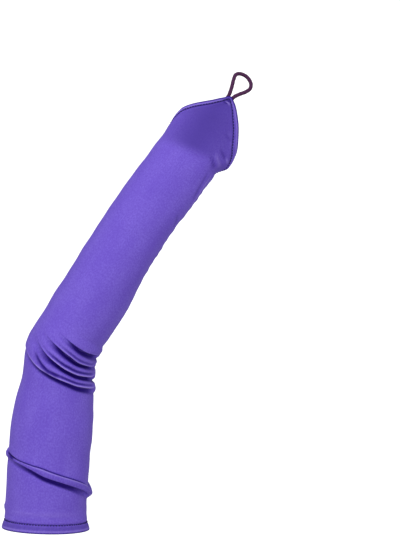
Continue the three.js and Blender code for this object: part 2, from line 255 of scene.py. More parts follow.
@dataclass(frozen=True)
class ArmForm:
    """The smooth form that the mitten is stretched over, with its sizes in millimetres."""

    upper_arm_length: float = 186.0
    forearm_length: float = 246.0
    point_length: float = 80.0
    upper_arm_width: float = 86.0
    elbow_width: float = 75.0
    forearm_width: float = 71.0
    wrist_width: float = 67.0
    hand_width: float = 77.0
    last_station: float = 3.1
    centre_steps: int = 1200
    normal_step: float = 0.2
    edge_step: float = 4.5
    least_stretch: float = 0.4
    most_stretch: float = 1.6
    curves: dict[str, Callable[[Array], Array]] = field(default_factory=dict)

    def __post_init__(self) -> None:
        """Makes the curves along the arm and sums up its middle line."""
        bends = [self.distance_of(row.station) for row in BENDS]
        rows = [self.distance_of(row.station) for row in SECTIONS]
        sizes = [getattr(self, row.size) for row in SECTIONS]
        self.curves["lean"] = SmoothCurve(bends, [math.radians(row.lean) for row in BENDS])
        self.curves["pitch"] = SmoothCurve(bends, [math.radians(row.pitch) for row in BENDS])
        for name in ("width", "depth", "shift"):
            values = [getattr(row, name) * size for row, size in zip(SECTIONS, sizes)]
            self.curves[name] = SmoothCurve(rows, values)
        self.curves["edge"] = round_curve(HAND_EDGE)
        step = self.distance_of(self.last_station) / self.centre_steps
        along, _, _ = self.directions((np.arange(self.centre_steps) + 0.5) * step)
        path = np.vstack([np.zeros(3), np.cumsum(along * step, axis=0)])
        places = np.arange(self.centre_steps + 1) * step
        self.curves["middle"] = lambda s: np.stack(
            [np.interp(s, places, path[:, axis]) for axis in range(3)], axis=-1
        )

    def distance_of(self, station: float) -> float:
        """Where a station is.

        Args:
            station: 0 at the arm opening, 1 at the elbow, 2 at the wrist and 3 at the point.

        Returns:
            Its distance along the arm's middle line.
        """
        return (
            min(max(station, 0), 1) * self.upper_arm_length
            + min(max(station - 1, 0), 1) * self.forearm_length
            + max(station - 2, 0) * self.point_length
        )

    def directions(self, distance: Array) -> tuple[Array, Array, Array]:
        """The form's three directions.

        Args:
            distance: along the middle line.

        Returns:
            The directions along the arm, towards the thumb and out of the hand's back.
        """
        lean = self.curves["lean"](distance)
        pitch = self.curves["pitch"](distance)
        zero = np.zeros_like(lean)
        along = np.stack(
            [np.sin(lean) * np.cos(pitch), -np.sin(pitch), np.cos(lean) * np.cos(pitch)], axis=-1
        )
        thumb = np.stack([np.cos(lean), zero, -np.sin(lean)], axis=-1)
        return along, thumb, np.cross(thumb, along)

    def point(self, distance: Array, angle: Array) -> Array:
        """Points of the smooth form, without folds.

        Args:
            distance: along the middle line, from the arm opening.
            angle: in degrees from the thumb side, over the back of the hand at 90.

        Returns:
            The points, with their coordinates in the last axis.
        """
        distance, angle = np.broadcast_arrays(distance, angle)
        _, thumb, back = self.directions(distance)
        turn = np.radians(angle)
        across = self.curves["shift"](distance) + self.curves["width"](distance) / 2 * np.cos(turn)
        out = self.curves["depth"](distance) / 2 * np.sin(turn)
        return self.curves["middle"](distance) + thumb * across[..., None] + back * out[..., None]

    def slopes(self, distance: Array, angle: Array) -> tuple[Array, Array]:
        """How the form lies at a place.

        Args:
            distance: along the middle line.
            angle: in degrees from the thumb side.

        Returns:
            How far the form runs for 1 mm of distance, and the direction straight out of it.
        """
        step = self.normal_step
        along = self.point(distance + step, angle) - self.point(distance - step, angle)
        round_arm = self.point(distance, angle + step) - self.point(distance, angle - step)
        out = np.cross(along, round_arm)
        stretch = np.linalg.norm(along, axis=-1) / (2 * step)
        return stretch, out / np.linalg.norm(out, axis=-1, keepdims=True)

    def displaced(self, distance: Array, angle: Array, out: Array, up: Array) -> Array:
        """Points moved out of the form and up along the arm.

        Args:
            distance: along the middle line.
            angle: in degrees from the thumb side.
            out: how far the point stands out of the form.
            up: how far it moves up along the arm.

        Returns:
            The points.
        """
        distance, angle, out, up = np.broadcast_arrays(distance, angle, out, up)
        for row in SWELLS:
            aside = half_turn(angle - row.angle)
            out = out + row.out * bump(distance - row.distance, row.length) * bump(aside, row.turn)
        along, _, _ = self.directions(distance)
        stretch, normal = self.slopes(distance, angle)
        rise = up * np.clip(stretch, self.least_stretch, self.most_stretch)
        return self.point(distance, angle) + normal * out[..., None] + along * rise[..., None]

    def hand_edge(self, angle: Array) -> Array:
        """Distance along the arm of the hand edge at an angle."""
        return self.distance_of(2) + self.curves["edge"](half_turn(angle)) * self.point_length

    def before_edge(self, angle: Array, width: Array) -> Array:
        """A level square to the hand edge.

        Args:
            angle: in degrees from the thumb side.
            width: how far before the edge the level lies.

        Returns:
            The level's distance along the arm.
        """
        here = self.hand_edge(angle)
        after = self.hand_edge(angle + self.edge_step)
        before = self.hand_edge(angle - self.edge_step)
        climb = np.maximum(np.abs(after - here), np.abs(here - before))
        ends = self.point(here, angle + self.edge_step) - self.point(here, angle - self.edge_step)
        return here - width * np.hypot(1, climb / (np.linalg.norm(ends, axis=-1) / 2))


# Folds, in millimetres


class ProfileRow(NamedTuple):
    """A row between one fold's crest and the next one's.

    Place is the share of the way up. Lower and upper are shares of the two folds' heights, groove of
    the lower fold's groove and valley of the upper fold's valley; both also set the painted shade.
    Up is how far the cloth hangs up or down, and light how strongly a highlight is painted on the
    crest.
    """

    place: float
    lower: float
    groove: float
    valley: float
    upper: float
    up: float
    light: float


BETWEEN_FOLDS = table(
    ProfileRow,
    (0, 1, 0, 0, 0, -1.2, 1),
    (0.05, 1.04, 0, 0, 0, -0.7, 0.35),
    (0.09, 1, 0.5, 0, 0, -0.4, 0),
    (0.13, 0.98, 1, 0, 0, -0.1, 0),
    (0.18, 0.95, 0.85, 0, 0, 0, 0),
    (0.24, 0.91, 0.3, 0, 0, 0, 0),
    (0.32, 0.84, 0, 0, 0, 0, 0.1),
    (0.41, 0.74, 0, 0, 0, 0, 0),
    (0.5, 0.58, 0, 0.12, 0, 0, 0),
    (0.58, 0.38, 0, 0.5, 0, 0, 0),
    (0.66, 0.2, 0, 0.88, 0, 0, 0),
    (0.75, 0.06, 0, 1, 0, 0.3, 0),
    (0.85, 0, 0, 0.97, 0, 0.9, 0),
    (0.92, 0, 0, 0.6, 0.25, 0.8, 0),
    (0.965, 0, 0, 0.15, 0.65, -0.4, 0),
)

UNDER_LOWEST = table(
    ProfileRow,
    (0, 0, 0, 0, 0, 0, 0),
    (0.28, 0, 0, 0.25, 0, 0, 0),
    (0.46, 0, 0, 0.75, 0, 0, 0),
    (0.63, 0, 0, 1, 0, 0.2, 0),
    (0.8, 0, 0, 1.05, 0, 0.9, 0),
    (0.9, 0, 0, 0.7, 0.25, 0.8, 0),
    (0.96, 0, 0, 0.15, 0.65, -0.4, 0),
)

OVER_HIGHEST = table(
    ProfileRow,
    (0, 1, 0, 0, 0, -1.1, 0.5),
    (0.06, 1.05, 0, 0, 0, -0.6, 0.3),
    (0.15, 1.03, 0, 0, 0, -0.2, 0),
    (0.3, 0.88, 0, 0, 0, 0, 0),
    (0.5, 0.6, 0, 0, 0, 0, 0),
    (0.7, 0.3, 0, 0, 0, 0, 0),
    (0.85, 0.1, 0, 0, 0, 0, 0),
    (1, 0, 0, 0, 0, 0, 0),
)


class RollRow(NamedTuple):
    """A row of the roll: its place from the lip (0) to the crease above (1), or mm past either.

    Height, valley, shoulder and crease are shares of the roll's own; valley and crease also set the
    painted shade. Up is how far the cloth hangs up or down, and light how much highlight is painted.
    """

    band: float
    past: float
    height: float
    valley: float
    shoulder: float
    crease: float
    up: float
    light: float


ROLL_ROWS = table(
    RollRow,
    (0, -8, 0, 0, 0, 0, 0, 0),
    (0, -6.4, 0, 0.3, 0, 0, 0, 0),
    (0, -4.8, 0, 0.8, 0, 0, 0, 0),
    (0, -3.2, 0, 1, 0, 0, 0.3, 0),
    (0, -1.7, 0, 0.95, 0, 0, 0.9, 0),
    (0, -0.8, 0.3, 0.5, 0, 0, 0.5, 0),
    (0, -0.3, 0.62, 0.15, 0, 0, -0.3, 0),
    (0.03, 0, 0.88, 0, 0, 0, -1.1, 0),
    (0.15, 0, 1, 0, 0, 0, -0.8, 0),
    (0.32, 0, 1.03, 0, 0, 0, -0.3, 0),
    (0.52, 0, 0.96, 0, 0, 0, 0, 0),
    (0.7, 0, 0.82, 0, 0, 0, 0.1, 0.1),
    (0.86, 0, 0.62, 0, 0.1, 0, 0.3, 0.75),
    (0.96, 0, 0.3, 0, 0.4, 0.4, 0.3, 0.3),
    (1, 0.2, 0, 0, 0.75, 1, 0, 0),
    (1, 0.9, 0, 0, 1, 0.6, 0, 0),
    (1, 1.8, 0, 0, 1.05, 0, 0, 0),
    (1, 4, 0, 0, 0.85, 0, 0, 0),
    (1, 7, 0, 0, 0.35, 0, 0, 0),
    (1, 11, 0, 0, 0, 0, 0, 0),
)

FOLD_ANGLES = (0, 25, 50, 70, 90, 110, 135, 160, 180)


@dataclass(frozen=True)
class Fold:
    """A fold round the arm, with its sizes at each of the fold angles, in millimetres."""

    levels: tuple[float, ...]
    heights: tuple[float, ...]
    valleys: tuple[float, ...]
    grooves: tuple[float, ...] = (0,) * len(FOLD_ANGLES)
    bands: tuple[float, ...] = (0,) * len(FOLD_ANGLES)
    shoulders: tuple[float, ...] = (0,) * len(FOLD_ANGLES)
    # How strongly the highlight painted on this fold's crest shows.
    light: float = 1.0

    def at(self, name: str, angle: Array) -> Array:
        """One of the fold's sizes at any angle, the same in front and behind."""
        return SmoothCurve(FOLD_ANGLES, getattr(self, name), True)(away_from_thumb(angle))


ROLL = Fold(
    levels=(36.3, 44.8, 51.3, 55.7, 60, 66.2, 71.4, 74.4, 73),
    heights=(5.5, 4.8, 4, 3.6, 3.2, 2.5, 1.8, 2.2, 2.9),
    valleys=(0, 0.8, 2.4, 3.1, 3.1, 2.6, 1.3, 0.3, 0.1),
    bands=(8.3, 6.7, 5.7, 5.3, 5.6, 2.6, 1, 1.4, 8),
    shoulders=(0.3, 0.3, 0.3, 0.3, 0.3, 0.4, 0.6, 0.8, 0.5),
)

ELBOW_FOLDS = (
    Fold(
        levels=(153.2, 153.7, 155.4, 159.4, 163.7, 169, 177.3, 183.3, 185.5),
        heights=(3.4, 3.9, 4, 3.9, 3.6, 3.2, 2.4, 1.6, 1),
        valleys=(0.3, 2.2, 3, 3, 2.8, 2.2, 1.5, 0.7, 0.1),
        grooves=(0.6, 1.2, 1.8, 2, 1.3, 0.4, 0, 0, 0),
    ),
    Fold(
        levels=(168, 166.4, 167.6, 171.9, 178.8, 184.7, 192.2, 198.2, 201.2),
        heights=(4.2, 4.2, 4.2, 4, 3.2, 1.6, 0.2, 0, 0),
        valleys=(2.9, 3, 3.2, 3.3, 3, 1.8, 0.1, 0, 0),
        grooves=(0.8, 1.6, 2, 2.2, 1.8, 0.4, 0, 0, 0),
    ),
    Fold(
        levels=(186.5, 180.6, 183, 189, 193.2, 196.2, 201.2, 205.2, 207.2),
        heights=(3.9, 4.2, 4.2, 3.8, 2.4, 0.6, 0, 0, 0),
        valleys=(0.9, 2.4, 3.4, 3.5, 2.5, 0.5, 0, 0, 0),
        grooves=(0.4, 0.9, 1.4, 1.3, 0.4, 0, 0, 0, 0),
        light=0.75,
    ),
    Fold(
        levels=(208, 204, 201.8, 202.6, 204.7, 208.2, 212.2, 215.2, 217.2),
        heights=(2.3, 3.6, 3.3, 2.1, 0.4, 0, 0, 0, 0),
        valleys=(1.8, 3, 3.3, 2.2, 0.3, 0, 0, 0, 0),
        light=0.15,
    ),
)


WRINKLE_FADE = 0.25


class Wrinkle(NamedTuple):
    """A small ridge or groove along a line, from one place to another on the arm.

    It fades out over WRINKLE_FADE of its length at each end. Tint is how strongly a highlight is
    painted along it, or below 0 how much shade is painted along it.
    """

    distance_a: float
    angle_a: float
    distance_b: float
    angle_b: float
    width: float
    height: float
    tint: float

    def ridge(self, distance: Array, angle: Array, radius: float) -> Array:
        """The wrinkle's form, 1 along its line and 0 away from it.

        Args:
            distance: along the arm.
            angle: in degrees from the thumb side.
            radius: of the arm, in millimetres.

        Returns:
            The form at each point.
        """
        start = np.array([self.distance_a, math.radians(self.angle_a) * radius])
        line = np.array([self.distance_b, math.radians(self.angle_b) * radius]) - start
        length = np.linalg.norm(line)
        up = distance - start[0]
        across = np.radians(np.mod(angle, 360)) * radius - start[1]
        along_line = (up * line[0] + across * line[1]) / length
        off_line = (up * line[1] - across * line[0]) / length
        end = WRINKLE_FADE * length
        fade = smooth_step(-end, end, along_line)
        fade = fade * (1 - smooth_step(length - end, length + end, along_line))
        return fade * bump(off_line, self.width)


WRINKLES = table(
    Wrinkle,
    (22.5, 150, 22, 200, 3, 1.4, 0),
    (20, 45, 20, 135, 2.2, 0.4, 0.15),
    (78.5, 165, 73.2, 143, 1.5, -1, -1),
    (180.2, 125, 167.5, 100.4, 1.7, -1.7, -1),
    (167.5, 100.4, 163.2, 83, 1.2, -0.9, -0.8),
    (448, 62, 439, 36, 1.5, -0.8, -0.55),
    (453, 57, 444, 33, 1.5, 0.7, 0.3),
    (460, 54, 453.5, 31, 1.5, -0.9, -0.45),
    (456, 38, 452.5, 24, 1.2, 0.6, 0.6),
    (476, 64, 474.5, 48, 1.2, -0.5, -0.3),
    (429, 32, 400, 23, 2, -0.5, -0.35),
    (427, 19, 392, 13, 1.2, 0.4, 0.6),
    (374, 32, 362, 16, 2.2, -0.4, -0.3),
    (480, 60, 470, 42, 1.4, 0.4, 0.12),
    (503.4, 95.5, 503.8, 88.7, 0.7, -0.5, -0.9),
    (505.1, 92, 504.9, 84.5, 0.65, 0.5, 0.9),
    (506.7, 92, 506.9, 85, 0.7, -0.6, -1),
)


@dataclass
class Rows:
    """The rings of a wall's mesh: distance, out, up, painted crease shade and painted light at each
    angle.
    """

    angles: Array
    rings: list[Array] = field(default_factory=list)

    def add(
        self,
        distance: Array,
        out: Array = 0.0,
        up: Array = 0.0,
        crease: Array = 0.0,
        light: Array = 0.0,
    ) -> None:
        """Adds a ring.

        Args:
            distance: along the arm, at each angle.
            out: how far the ring stands out of the arm's form.
            up: how far it moves up along the arm.
            crease: how much shade is painted on it, deep in a fold or by a hem, 0 to 1.
            light: how much highlight is painted on it as a crest, 0 to 1.
        """
        ring = np.zeros_like(self.angles)
        self.rings.append(np.stack([ring + part for part in (distance, out, up, crease, light)]))

    def spread(self, end: Array, steps: int, ease: float = 1.0) -> None:
        """Adds plain rings from the last one up to a level, which is left out.

        Args:
            end: the level's distance along the arm.
            steps: how many steps there are to the level.
            ease: 1 for even steps, or more for steps that shorten.
        """
        start = self.rings[-1][0]
        for i in range(1, steps):
            self.add(start + (end - start) * (1 - (1 - i / steps) ** ease))

    def dense(self, spacing: float, least: int) -> Array:
        """Fills in rings between the ones added, on smooth curves through them.

        Args:
            spacing: the distance between rings that is aimed at.
            least: the fewest steps from one added ring to the next.

        Returns:
            Distance, out, up, crease and light, each with a row for every ring.
        """
        rings = np.array(self.rings)
        gaps = np.abs(np.diff(rings[:, 0], axis=0)).mean(axis=1)
        steps = np.maximum(np.ceil(gaps / spacing).astype(int), least)
        places = np.concatenate([i + np.arange(n) / n for i, n in enumerate(steps)] + [[len(steps)]])
        return np.moveaxis(catmull_rom(rings, places), 1, 0)


def catmull_rom(rows: Array, places: Array) -> Array:
    """Values between rows on Catmull-Rom curves.

    Args:
        rows: the rows that the curves pass through.
        places: where values are wanted, counted in rows.

    Returns:
        A row for each place.
    """
    i = np.clip(places.astype(int), 0, len(rows) - 2)
    t = (places - i).reshape(-1, *([1] * (rows.ndim - 1)))
    padded = np.concatenate([2 * rows[:1] - rows[1:2], rows, 2 * rows[-1:] - rows[-2:-1]])
    p0, p1, p2, p3 = (padded[i + step] for step in range(4))
    return 0.5 * (
        2 * p1
        + (p2 - p0) * t
        + (2 * p0 - 5 * p1 + 4 * p2 - p3) * t**2
        + (3 * p1 - p0 - 3 * p2 + p3) * t**3
    )


# Meshes


def add_object(name: str, data: bpy.types.ID) -> bpy.types.Object:
    """Puts an object in the scene, at the origin.

    Args:
        name: the object's name.
        data: its mesh, light or camera.

    Returns:
        The object.
    """
    made = bpy.data.objects.new(name, data)
    bpy.context.scene.collection.objects.link(made)
    return made


@dataclass
class MeshParts:
    """Vertices and faces gathered for one mesh."""

    points: list[Array] = field(default_factory=list)
    faces: list[Array] = field(default_factory=list)
    uvs: list[Array] = field(default_factory=list)
    attributes: dict[str, list[Array]] = field(default_factory=dict)
    count: int = 0

    def add_points(self, points: Array, **attributes: Array) -> int:
        """Adds a grid of points.

        Args:
            points: the grid, with the coordinates in its last axis.
            attributes: a number for each point, by name.

        Returns:
            The number of the grid's first point.
        """
        first = self.count
        flat = points.reshape(-1, 3)
        self.points.append(flat)
        for name, values in attributes.items():
            spread = np.broadcast_to(values, points.shape[:-1]).ravel()
            self.attributes.setdefault(name, []).append(spread)
        self.count += len(flat)
        return first

    def add_faces(self, corners: Array, uvs: Array) -> None:
        """Adds faces with the same number of corners, and the UV place of each corner."""
        self.faces.append(corners)
        self.uvs.append(uvs.reshape(-1, 2))

    def add_tube(
        self, first: int, rows: int, columns: int, uv: Array, flip: bool = False, ring: bool = False
    ) -> None:
        """Adds the four-sided faces of a grid that closes round the arm.

        Args:
            first: the number of the grid's first point.
            rows: how many rings it has.
            columns: how many points each ring has.
            uv: the UV places, with one more column than the grid.
            flip: whether the faces look inwards.
            ring: whether the last ring joins the first.
        """
        steps = rows if ring else rows - 1
        i, j = np.meshgrid(np.arange(steps), np.arange(columns), indexing="ij")
        i2, j2 = (i + 1) % rows, (j + 1) % columns
        corners = np.stack([i * columns + j, i2 * columns + j, i2 * columns + j2, i * columns + j2], -1)
        places = np.stack([uv[i, j], uv[i + 1, j], uv[i + 1, j + 1], uv[i, j + 1]], axis=-2)
        if flip:
            corners, places = corners[..., ::-1], places[..., ::-1, :]
        self.add_faces(first + corners.reshape(-1, 4), places)

    def add_caps(self, first: int, rows: int, columns: int, uv: Array, flip: bool = False) -> None:
        """Closes both ends of a tube.

        Args:
            first, rows, columns, uv, flip: as they were given to add_tube.
        """
        for row, backwards in ((0, flip), (rows - 1, not flip)):
            ring = first + row * columns + np.arange(columns)
            ring = ring[::-1] if backwards else ring
            self.add_faces(ring[None, :], np.tile(uv[row, 0], (columns, 1)))

    def make(self, name: str, material: bpy.types.Material) -> bpy.types.Object:
        """Makes the object, in metres and in the frame's own place.

        Args:
            name: the object's name.
            material: what it is dressed in.

        Returns:
            The object.
        """
        mesh = bpy.data.meshes.new(name)
        points = np.concatenate(self.points) * MM
        totals = np.concatenate([np.full(len(f), f.shape[1]) for f in self.faces])
        loops = np.concatenate([f.ravel() for f in self.faces])
        mesh.vertices.add(len(points))
        mesh.vertices.foreach_set("co", points.astype(np.float32).ravel())
        mesh.loops.add(len(loops))
        mesh.loops.foreach_set("vertex_index", loops.astype(np.int32))
        mesh.polygons.add(len(totals))
        starts = np.concatenate([[0], np.cumsum(totals)[:-1]])
        mesh.polygons.foreach_set("loop_start", starts.astype(np.int32))
        mesh.polygons.foreach_set("loop_total", totals.astype(np.int32))
        mesh.update(calc_edges=True)
        layer = mesh.uv_layers.new(name=UV_NAME)
        layer.data.foreach_set("uv", np.concatenate(self.uvs).astype(np.float32).ravel())
        for key, values in self.attributes.items():
            attribute = mesh.attributes.new(key, "FLOAT", "POINT")
            attribute.data.foreach_set("value", np.concatenate(values).astype(np.float32))
        mesh.polygons.foreach_set("use_smooth", np.ones(len(totals), bool))
        mesh.materials.append(material)
        mesh.validate()
        return add_object(name, mesh)


def closed_angles(columns: int) -> Array:
    """The angle of each column round the arm."""
    return np.arange(columns) * 360.0 / columns


def cloth_uv(distance: Array, columns: int, round_length: float) -> Array:
    """UV places in metres, with one more column than the grid, so that the seam closes.

    Args:
        distance: of each point along the arm, in millimetres.
        columns: how many points lie round the arm.
        round_length: the cloth's width, in millimetres.

    Returns:
        The places, with u round the arm and v along it.
    """
    u = np.arange(columns + 1) / columns * round_length * MM
    v = np.concatenate([distance, distance[:, :1]], axis=1) * MM
    return np.stack([np.broadcast_to(u, v.shape), v], axis=-1)


# Materials


class Value:
    """A number that varies over a surface. Operators on it add Math nodes."""

    def __init__(self, tree: "NodeTree", socket: bpy.types.NodeSocket) -> None:
        """Keeps the socket that gives the number."""
        self.tree = tree
        self.socket = socket

    def math(self, operation: str, *others: "Value | float") -> "Value":
        """Adds a Math node, with this value first and others after it."""
        inputs = dict(enumerate((self, *others)))
        return self.tree.value("ShaderNodeMath", inputs, operation=operation)

    def __add__(self, other: "Value | float") -> "Value":
        """Sum."""
        return self.math("ADD", other)

    __radd__ = __add__

    def __mul__(self, other: "Value | float") -> "Value":
        """Product."""
        return self.math("MULTIPLY", other)

    __rmul__ = __mul__

    def __sub__(self, other: "Value | float") -> "Value":
        """Difference."""
        return self.math("SUBTRACT", other)

    def __rsub__(self, other: "Value | float") -> "Value":
        """Difference, with this value taken away."""
        return self * -1.0 + other

    def clamped(self) -> "Value":
        """The value, held between 0 and 1."""
        return self.tree.value("ShaderNodeClamp", {"Value": self})


class NodeTree:
    """A node tree, built node by node."""

    def __init__(self, tree: bpy.types.NodeTree) -> None:
        """Keeps the tree that the nodes go into."""
        self.tree = tree

    def node(self, kind: str, sockets: dict | None = None, **settings: object) -> bpy.types.Node:
        """Adds a node.

        Args:
            kind: the node's type.
            sockets: values or links of its inputs, by name or number.
            settings: the node's own settings, which are set first.

        Returns:
            The node.
        """
        made = self.tree.nodes.new(kind)
        for key, setting in settings.items():
            setattr(made, key, setting)
        for key, given in (sockets or {}).items():
            source = given.socket if isinstance(given, Value) else given
            source = source.outputs[0] if isinstance(source, bpy.types.Node) else source
            if isinstance(source, bpy.types.NodeSocket):
                self.tree.links.new(source, made.inputs[key])
            else:
                made.inputs[key].default_value = source
        return made

    def value(
        self, kind: str, sockets: dict | None = None, output: int | str = 0, **settings: object
    ) -> Value:
        """Adds a node.

        Args:
            kind, sockets, settings: as for node.
            output: the name or number of the output that is wanted.

        Returns:
            That output.
        """
        return Value(self, self.node(kind, sockets, **settings).outputs[output])


class Grain(NamedTuple):
    """A noise over the cloth: cells in a metre, their rate along the arm, detail and strength."""

    scale: float
    along: float
    detail: float
    strength: float


class Shader(NodeTree):
    """A material's node tree."""

    def __init__(self, name: str) -> None:
        """Makes an empty material.

        Args:
            name: the material's name.
        """
        self.material = bpy.data.materials.new(name)
        self.material.use_nodes = True
        super().__init__(self.material.node_tree)
        self.tree.nodes.clear()

    def attribute(self, name: str) -> Value:
        """A number kept on the mesh, held between 0 and 1."""
        return self.value("ShaderNodeAttribute", output="Fac", attribute_name=name).clamped()

    def mix(self, share: Value, start: Colour | Value, end: Colour | Value) -> Value:
        """A colour between two others."""
        return self.value("ShaderNodeMix", {0: share, 6: start, 7: end}, 2, data_type="RGBA")

    def uv(self, along: float = 1.0) -> Value:
        """The cloth's own coordinates.

        Args:
            along: what they are multiplied by along the arm.

        Returns:
            The coordinates.
        """
        place = self.node("ShaderNodeUVMap", uv_map=UV_NAME)
        sockets = {0: place, 1: (1.0, along, 1.0)}
        return self.value("ShaderNodeVectorMath", sockets, operation="MULTIPLY")

    def noise(self, place: Value | bpy.types.NodeSocket, scale: float, detail: float) -> Value:
        """Smooth noise from 0 to 1."""
        sockets = {"Vector": place, "Scale": scale, "Detail": detail}
        return self.value("ShaderNodeTexNoise", sockets, "Fac")

    def grain(self, grain: Grain) -> Value:
        """The noise of a grain, from 0 to 1."""
        return self.noise(self.uv(grain.along), grain.scale, grain.detail)

    def bump(self, height: Value, strength: float, relief: float) -> bpy.types.Node:
        """Fine relief, in metres."""
        sockets = {"Strength": strength, "Distance": relief, "Height": height}
        return self.node("ShaderNodeBump", sockets)

    def finish(self, sockets: dict) -> bpy.types.Material:
        """Adds the surface shader and the output.

        Args:
            sockets: values or links of the surface's inputs.

        Returns:
            The material.
        """
        surface = self.node("ShaderNodeBsdfPrincipled", sockets)
        self.node("ShaderNodeOutputMaterial", {"Surface": surface})
        return self.material


def linear(red: float, green: float, blue: float) -> Colour:
    """Works out a colour for the shaders.

    Args:
        red, green, blue: its screen values, 0 to 255.

    Returns:
        The colour in linear light.
    """

    def one(value: float) -> float:
        """One channel in linear light."""
        share = value / 255
        return share / 12.92 if share <= 0.04045 else ((share + 0.055) / 1.055) ** 2.4

    return one(red), one(green), one(blue), 1.0


@dataclass(frozen=True)
class SatinFinish:
    """Stretch satin: fine threads, a soft sheen, and painted shade and highlights in its colour."""

    name: str
    colour: Colour = linear(118, 91, 215)
    # deep is painted shade in creases and fold valleys; shaded is painted shade over the hand.
    deep: Colour = linear(38, 6, 130)
    shaded: Colour = linear(87, 67, 170)
    fleck: Colour = linear(158, 138, 248)
    # The colour of the highlight painted on crests.
    painted_highlight: Colour = linear(186, 164, 255)
    gloss: Colour = (0.6, 0.45, 1.0, 1.0)
    deep_shade_share: float = 0.92
    shaded_share: float = 0.92
    fleck_share: float = 0.4
    highlight_share: float = 0.8
    roughness: float = 0.5
    roughness_spread: float = 0.12
    specular: float = 0.16
    flecks: Grain = Grain(620.0, 0.75, 3.0, 3.0)
    clouds: Grain = Grain(55.0, 0.4, 2.0, 1.2)
    fleck_level: float = 0.35
    threads: Grain = Grain(1 / 0.00042, 0.22, 1.0, 0.5)
    ripples: Grain = Grain(190.0, 0.5, 2.0, 1.4)
    bump_strength: float = 0.55
    thread_relief: float = 0.00012

    def make(self) -> bpy.types.Material:
        """Builds the material.

        Returns:
            The material.
        """
        shader = Shader(self.name)
        flecks = shader.grain(self.flecks) - 0.5
        clouds = shader.grain(self.clouds) - 0.5
        cover = flecks * self.flecks.strength + clouds * self.clouds.strength + self.fleck_level
        tint = shader.mix(cover.clamped() * self.fleck_share, self.colour, self.fleck)
        # Paints shade over the hand, highlights on crests and shade in creases into the base colour.
        for name, share, colour in (
            (SHADE_NAME, self.shaded_share, self.shaded),
            (HIGHLIGHT_NAME, self.highlight_share, self.painted_highlight),
            (CREASE_SHADE_NAME, self.deep_shade_share, self.deep),
        ):
            tint = shader.mix(shader.attribute(name) * share, tint, colour)
        threads = shader.grain(self.threads) * self.threads.strength
        height = threads + shader.grain(self.ripples) * self.ripples.strength
        return shader.finish(
            {
                "Base Color": tint,
                "Roughness": flecks * self.roughness_spread + self.roughness,
                "Specular IOR Level": self.specular,
                "Specular Tint": self.gloss,
                "Normal": shader.bump(height, self.bump_strength, self.thread_relief),
            }
        )


@dataclass(frozen=True)
class ElasticFinish:
    """Round elastic with a braided cover."""

    name: str
    colour: Colour = linear(94, 33, 90)
    deep: Colour = linear(54, 10, 60)
    roughness: float = 0.72
    braid_pitch: float = 0.0012
    braid_tint: float = 0.8
    fuzz: Grain = Grain(3000.0, 1.0, 2.0, 0.4)
    fuzz_tint: float = 0.3
    bump_strength: float = 0.8
    relief: float = 0.00018

    def make(self) -> bpy.types.Material:
        """Builds the material.

        Returns:
            The material.
        """
        shader = Shader(self.name)
        parts = shader.node("ShaderNodeSeparateXYZ", {0: shader.uv()})
        u, v = Value(shader, parts.outputs[0]), Value(shader, parts.outputs[1])
        turn = 2 * math.pi / self.braid_pitch
        braid = ((u + v) * turn).math("SINE") * ((v - u) * turn).math("SINE") * 0.5 + 0.5
        fuzz = shader.grain(self.fuzz)
        share = (braid * self.braid_tint + fuzz * self.fuzz_tint).clamped()
        height = braid + fuzz * self.fuzz.strength
        return shader.finish(
            {
                "Base Color": shader.mix(share, self.deep, self.colour),
                "Roughness": self.roughness,
                "Normal": shader.bump(height, self.bump_strength, self.relief),
            }
        )


@dataclass(frozen=True)
class ThreadFinish:
    """Sewing thread with a twist."""

    name: str
    colour: Colour = linear(44, 24, 118)
    deep: Colour = linear(26, 10, 84)
    roughness: float = 0.6
    twist_scale: float = 4200.0
    bump_strength: float = 0.5
    relief: float = 0.0001

    def make(self) -> bpy.types.Material:
        """Builds the material.

        Returns:
            The material.
        """
        shader = Shader(self.name)
        place = shader.node("ShaderNodeTexCoord").outputs["Object"]
        twist = shader.noise(place, self.twist_scale, 1.0)
        return shader.finish(
            {
                "Base Color": shader.mix(twist, self.deep, self.colour),
                "Roughness": self.roughness,
                "Normal": shader.bump(twist, self.bump_strength, self.relief),
            }
        )


# The mitten's pieces


